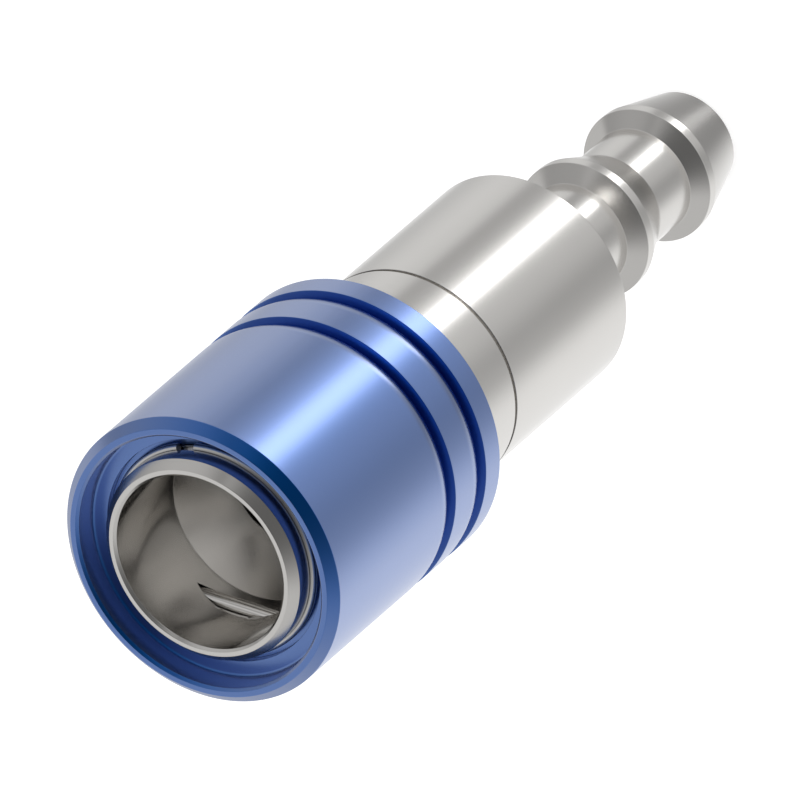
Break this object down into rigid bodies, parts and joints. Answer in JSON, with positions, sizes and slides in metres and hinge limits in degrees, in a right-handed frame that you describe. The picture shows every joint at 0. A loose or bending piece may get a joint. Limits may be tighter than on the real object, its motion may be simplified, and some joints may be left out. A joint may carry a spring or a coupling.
{
  "type": "liquid cooling quick coupling",
  "caption": "Straight liquid cooling quick coupling socket with a ring-grooved release sleeve, pin lock, poppet valve and barbed hose tail.",
  "frame": {"origin": "centre of the hose tail's end face, on which the coupling stands", "axes": "+Z along the coupling's axis towards the mouth for the plug, +X towards the first locking pin"},
  "size_m": [0.0234, 0.0234, 0.0721],
  "materials": {
    "blue_aluminium": "satin blue anodised",
    "stainless_steel": "satin turned stainless steel",
    "spring_steel": "bright drawn wire",
    "seal_rubber": "matt black"
  },
  "bodies": {
    "root": {"socket_body": "stainless_steel", "hose_tail": "stainless_steel", "sleeve_stop_ring": "spring_steel", "spring_seat_ring": "stainless_steel", "lock_spring": "spring_steel", "valve_spring": "spring_steel", "poppet_guide": "stainless_steel", "nose_seal": "seal_rubber", "tail_seal": "seal_rubber"},
    "lock_ring": {"pin_follower_ring": "stainless_steel"},
    "sleeve": {"release_sleeve": "blue_aluminium"},
    "pin_1": {"locking_pin_1": "stainless_steel"},
    "pin_2": {"locking_pin_2": "stainless_steel"},
    "poppet": {"valve_poppet": "stainless_steel", "poppet_seal": "seal_rubber"}
  },
  "joints": [
    {"name": "lock_slide", "type": "slide", "parent": "root", "child": "lock_ring", "axis": [0, 0, -1], "range_m": [0, 0.0015], "stiffness_N_per_m": 430, "springref_m": -0.014, "deforming": ["lock_spring"]},
    {"name": "sleeve_spin", "type": "hinge", "parent": "lock_ring", "child": "sleeve", "pos_m": [0, 0, 0.06], "axis": [0, 0, 1], "continuous": true},
    {"name": "pin_1_slide", "type": "slide", "parent": "root", "child": "pin_1", "axis": [0.7071, 0, -0.7071], "range_m": [0, 0.00212]},
    {"name": "pin_2_slide", "type": "slide", "parent": "root", "child": "pin_2", "axis": [-0.7071, 0, -0.7071], "range_m": [0, 0.00212]},
    {"name": "poppet_slide", "type": "slide", "parent": "root", "child": "poppet", "axis": [0, 0, -1], "range_m": [0, 0.0045], "stiffness_N_per_m": 1300, "springref_m": -0.004, "deforming": ["valve_spring"]}
  ],
  "couplings": [
    {"joint": "pin_1_slide", "follows": "lock_slide", "ratio": 1.4142},
    {"joint": "pin_2_slide", "follows": "lock_slide", "ratio": 1.4142}
  ]
}
